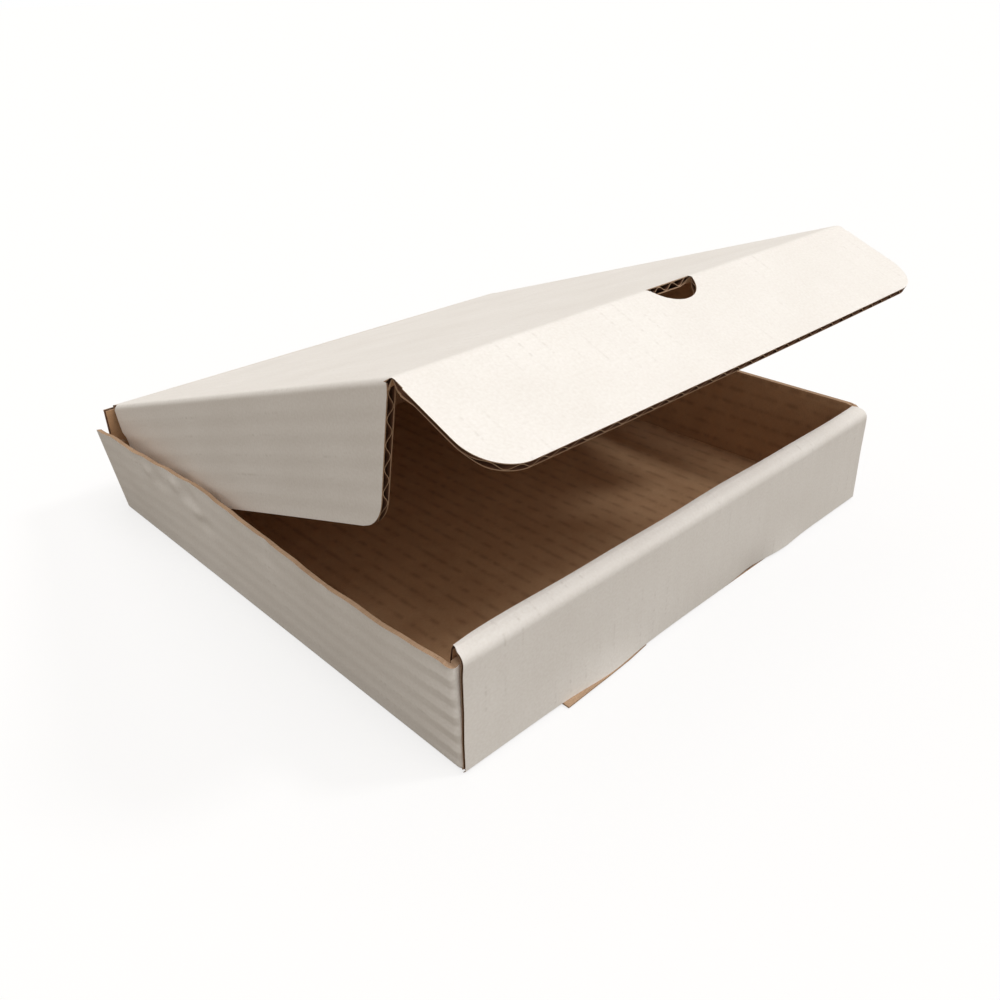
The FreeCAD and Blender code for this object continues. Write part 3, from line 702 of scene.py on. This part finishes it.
front_outer = [on_lid(SEAM - LID_LENGTH, SKIN), on_lid(FULL - LID_LENGTH, SKIN),
               on_lid(OUTER_LIP - LID_LENGTH, SKIN),
               on_lid(-LID_LENGTH - meeting(FLAP_ANGLE), SKIN - 0.33),
               on_flap(-OUTER_LIP, SKIN), on_flap(-FULL, SKIN), on_flap(-SEAM, SKIN)]
front_inner = [on_lid(SEAM - LID_LENGTH, SKIN - T), on_lid(FULL - LID_LENGTH, SKIN - T),
               on_lid(LIP - LID_LENGTH, -SKIN), (CREASE[0] + 0.02, CREASE[1] - SKIN),
               on_flap(-LIP, -SKIN), on_flap(-FULL, SKIN - T), on_flap(-SEAM, SKIN - T)]
front_strips = [crease_strip(
    "front_crease_" + side, front_outer, front_inner, 1.4, low_u, high_u,
    fall=1.0)
    for side, low_u, high_u in (("left", 0.35 - LID_HALF, THUMB_X - THUMB_HALF),
                                ("right", THUMB_X + THUMB_HALF, LID_HALF - 0.35))]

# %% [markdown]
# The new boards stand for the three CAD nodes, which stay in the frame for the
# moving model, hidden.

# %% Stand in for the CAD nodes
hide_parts("tray")
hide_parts("lid")
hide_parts("front_flap")

# %% [markdown]
# Each paper starts from what it really is. White top liner is bleached fibre on
# brown board, matt, with faint shadows of the flutes under it. Kraft liner is
# unbleached and shows its fibres and specks. All patterns follow the sheet: the
# UV map gives millimetres across the flutes and along them, over a hundred.


# %% Helpers for materials
def linear(code):
    """An sRGB hex colour as the linear values that a shader wants."""
    c = np.array([int(code[k:k + 2], 16) for k in (1, 3, 5)]) / 255.0
    c = np.where(c <= 0.04045, c / 12.92, ((c + 0.055) / 1.055) ** 2.4)
    return (*[float(x) for x in c], 1.0)


def node(tree, kind, inputs=None, **settings):
    """Adds one node, with its settings, and its inputs as values or links."""
    made = tree.nodes.new(kind)
    for key, value in settings.items():
        setattr(made, key, value)
    for key, value in (inputs or {}).items():
        if isinstance(value, bpy.types.NodeSocket):
            tree.links.new(value, made.inputs[key])
        else:
            made.inputs[key].default_value = value
    return made


def start(material, roughness):
    """A cleared tree with a matt paper shader, and the sheet's U and V in mm."""
    material.use_nodes = True
    tree = material.node_tree
    tree.nodes.clear()
    shader = node(tree, "ShaderNodeBsdfPrincipled", {"Roughness": roughness, "IOR": 1.47})
    shader.inputs["Specular IOR Level"].default_value = 0.3
    node(tree, "ShaderNodeOutputMaterial", {"Surface": shader.outputs[0]})
    place = node(tree, "ShaderNodeUVMap", uv_map="sheet")
    split = node(tree, "ShaderNodeSeparateXYZ", {0: place.outputs[0]})
    mm = [node(tree, "ShaderNodeMath", {0: split.outputs[k], 1: 100.0},
               operation="MULTIPLY").outputs[0] for k in (0, 1)]
    return tree, shader, mm


def noise(tree, place, scale, detail=3.0, stretch=(1, 1, 1)):
    """Noise whose size is in mm: scale is cells per mm, stretched by axis."""
    moved = node(tree, "ShaderNodeMapping", {"Vector": place, "Scale": stretch})
    return node(tree, "ShaderNodeTexNoise", {"Vector": moved.outputs[0], "Scale": scale,
                                             "Detail": detail}).outputs["Fac"]


def ramp(tree, fac, stops):
    """A colour ramp through (place, hex) stops."""
    made = node(tree, "ShaderNodeValToRGB", {"Fac": fac})
    line = made.color_ramp
    while len(line.elements) < len(stops):
        line.elements.new(0.5)
    for element, (at, code) in zip(line.elements, stops):
        element.position = at
        element.color = linear(code)
    return made.outputs["Color"]


def maths(tree, operation, a, b=0.0, c=0.0):
    """One operation on up to three values or links."""
    return node(tree, "ShaderNodeMath", {0: a, 1: b, 2: c}, operation=operation).outputs[0]


def flute_line(tree, across, sharpness):
    """One at each glued crest and zero between: a cosine raised to a power."""
    angle = maths(tree, "MULTIPLY", across, 2 * math.pi / FLUTE)
    wave = maths(tree, "MULTIPLY_ADD", maths(tree, "COSINE", angle), 0.5, 0.5)
    return maths(tree, "POWER", wave, sharpness)


def mix(tree, fac, a, b):
    """Colour a turned to colour b by the share fac."""
    made = node(tree, "ShaderNodeMix", data_type="RGBA")
    for key, value in ((0, fac), (6, a), (7, b)):
        if isinstance(value, bpy.types.NodeSocket):
            tree.links.new(value, made.inputs[key])
        else:
            made.inputs[key].default_value = value
    return made.outputs[2]


print("helpers ready")

# %% [markdown]
# White top liner: bleached fibre over brown, so the flute crests show through as
# faint grey dashes where the glue line is strong, and the sheet is a little
# washboarded. Fibre clumps are about 1 mm, drawn coarser than real fibres so that
# they show. The dashes are a few millimetres long and stand in loose patches.

# %% White top liner
tree, shader, (across, along) = start(white_liner, 0.62)
place = node(tree, "ShaderNodeCombineXYZ", {"X": across, "Y": along}).outputs[0]
crest = flute_line(tree, across, 26.0)
patch = ramp(tree, noise(tree, place, 0.03, 2.0), [(0.5, "#000000"), (0.66, "#FFFFFF")])
broken = ramp(tree, noise(tree, place, 0.5, 3.0, (0.3, 1.0, 1)),
              [(0.46, "#000000"), (0.6, "#FFFFFF")])
dashes = maths(tree, "MULTIPLY", crest, maths(tree, "MULTIPLY", patch, broken))
clumps = noise(tree, place, 0.9, 4.0)
cloud = noise(tree, place, 0.03, 3.0)
tone = ramp(tree, cloud, [(0.3, "#EEEBE6"), (0.7, "#F6F4F0")])
tone = mix(tree, 0.35, tone, ramp(tree, clumps, [(0.3, "#E6E2DC"), (0.7, "#FBFAF7")]))
tone = mix(tree, maths(tree, "MULTIPLY", dashes, 0.3), tone, linear("#BDB7AE"))
tree.links.new(tone, shader.inputs["Base Color"])
swell = flute_line(tree, across, 1.0)
height = maths(tree, "ADD", maths(tree, "MULTIPLY", swell, 0.09),
               maths(tree, "MULTIPLY", clumps, 0.03))
bumped = node(tree, "ShaderNodeBump", {"Height": height, "Distance": MM, "Strength": 1.0})
tree.links.new(bumped.outputs[0], shader.inputs["Normal"])
print(white_liner.name)

# %% [markdown]
# Kraft test liner: brown recycled fibre. The crests show as darker broken lines
# along the flutes, fibres lie across them, and there are small dark specks. The
# cut edge is the same fibre, paler where the knife opened it. The medium is seen
# only deep in the cells: its colour is brown paper darkened by painted shade of those cells.

# %% Kraft liner, cut edge and medium


def brown_paper(material, roughness, dark, light, lines):
    """Brown paper: cloudy tone, fine fibres across the flutes and darker crests."""
    tree, shader, (across, along) = start(material, roughness)
    place = node(tree, "ShaderNodeCombineXYZ", {"X": across, "Y": along}).outputs[0]
    cloud = noise(tree, place, 0.06, 4.0)
    fibre = noise(tree, place, 1.3, 3.0, (0.4, 1.6, 1))
    speck = noise(tree, place, 2.2, 1.0)
    tone = ramp(tree, cloud, [(0.3, dark), (0.7, light)])
    tone = mix(tree, 0.35, tone, ramp(tree, fibre, [(0.35, dark), (0.65, light)]))
    tone = mix(tree, 0.2, tone, ramp(tree, speck, [(0.3, "#6B4A2E"), (0.42, light)]))
    crest = flute_line(tree, across, 4.0)
    broken = ramp(tree, noise(tree, place, 0.16, 2.0, (0.6, 1.0, 1)),
                  [(0.4, "#3A3A3A"), (0.6, "#FFFFFF")])
    crest = maths(tree, "MULTIPLY", crest, broken)
    tone = mix(tree, maths(tree, "MULTIPLY", crest, lines), tone, linear("#6E4A30"))
    tree.links.new(tone, shader.inputs["Base Color"])
    height = maths(tree, "ADD", maths(tree, "MULTIPLY", flute_line(tree, across, 1.0), 0.06),
                   maths(tree, "MULTIPLY", fibre, 0.04))
    bumped = node(tree, "ShaderNodeBump", {"Height": height, "Distance": MM, "Strength": 1.0})
    tree.links.new(bumped.outputs[0], shader.inputs["Normal"])
    print(material.name)


brown_paper(kraft_liner, 0.75, "#B9916D", "#D0AA84", 0.3)
brown_paper(cut_edge, 0.85, "#9C7F66", "#C2A487", 0.0)
# fluting medium: brown paper, darkened by painted shade of the deep flute cells
brown_paper(medium_paper, 0.85, "#5E3E2B", "#7A5640", 0.0)

# %% [markdown]
# The floor and backdrop are white to the camera. The floor's own light is split:
# a part glows only for the camera, and the rest is plain diffuse, so that the
# box still leaves its soft shadow there. Four distant lamps stand for soft boxes:
# a broad key in front, a broad overhead, a small window light that reaches into
# the box from the right, and a weak fill from the left.

# %% Floor, lights and camera
floor_mesh = bpy.data.meshes.new("floor")
far = 60.0
floor_mesh.from_pydata([(-far, -far, 0), (far, -far, 0), (far, far, 0), (-far, far, 0)], [],
                       [(0, 1, 2, 3)])
floor = bpy.data.objects.new("floor", floor_mesh)
bpy.context.scene.collection.objects.link(floor)
floor_paint = bpy.data.materials.new("matt_white_floor_paint")
floor_paint.use_nodes = True
tree = floor_paint.node_tree
tree.nodes.clear()
seen = node(tree, "ShaderNodeLightPath").outputs["Is Camera Ray"]
plain = node(tree, "ShaderNodeBsdfDiffuse", {"Color": linear("#8E8880")})
dim = node(tree, "ShaderNodeBsdfDiffuse", {"Color": linear("#8E8E8E")})
glow = node(tree, "ShaderNodeEmission", {"Color": (1, 1, 1, 1), "Strength": 0.72})
both = node(tree, "ShaderNodeAddShader", {0: dim.outputs[0], 1: glow.outputs[0]})
pick = node(tree, "ShaderNodeMixShader", {0: seen, 1: plain.outputs[0], 2: both.outputs[0]})
node(tree, "ShaderNodeOutputMaterial", {"Surface": pick.outputs[0]})
floor_mesh.materials.append(floor_paint)

world = bpy.data.worlds.new("studio")
bpy.context.scene.world = world
world.use_nodes = True
tree = world.node_tree
tree.nodes.clear()
seen = node(tree, "ShaderNodeLightPath").outputs["Is Camera Ray"]
ambient = node(tree, "ShaderNodeBackground", {"Color": linear("#FAF0E6"), "Strength": 0.5})
backdrop = node(tree, "ShaderNodeBackground", {"Color": (1, 1, 1, 1), "Strength": 1.0})
pick = node(tree, "ShaderNodeMixShader", {0: seen, 1: ambient.outputs[0],
                                          2: backdrop.outputs[0]})
node(tree, "ShaderNodeOutputWorld", {"Surface": pick.outputs[0]})


def sun(name, strength, angle, way):
    """Adds a distant lamp that shines along way, as wide in the sky as angle degrees."""
    light = bpy.data.lights.new(name, "SUN")
    light.energy, light.angle = strength, math.radians(angle)
    made = bpy.data.objects.new(name, light)
    bpy.context.scene.collection.objects.link(made)
    away = -np.array(way, float)
    made.rotation_euler = (math.atan2(math.hypot(away[0], away[1]), away[2]), 0,
                           math.atan2(away[0], -away[1]))


sun("key", 0.75, 38.0, (-0.05, 0.40, -0.91))
sun("overhead", 0.62, 60.0, (0.0, 0.0, -1.0))
sun("window", 0.66, 10.0, (-0.59, 0.39, -0.71))
sun("fill", 0.16, 60.0, (0.5, 0.6, -0.62))
camera_data = bpy.data.cameras.new("camera")
camera_data.sensor_width, camera_data.lens = 36.0, 32.757
camera = bpy.data.objects.new("camera", camera_data)
bpy.context.scene.collection.objects.link(camera)
camera.location = (-0.26925, -0.29673, 0.22471)
camera.rotation_euler = [math.radians(a) for a in (60.8098, 1.1592, -43.8489)]
bpy.context.scene.camera = camera
bpy.context.scene.view_settings.view_transform = "Standard"
print("camera at", tuple(camera.location))
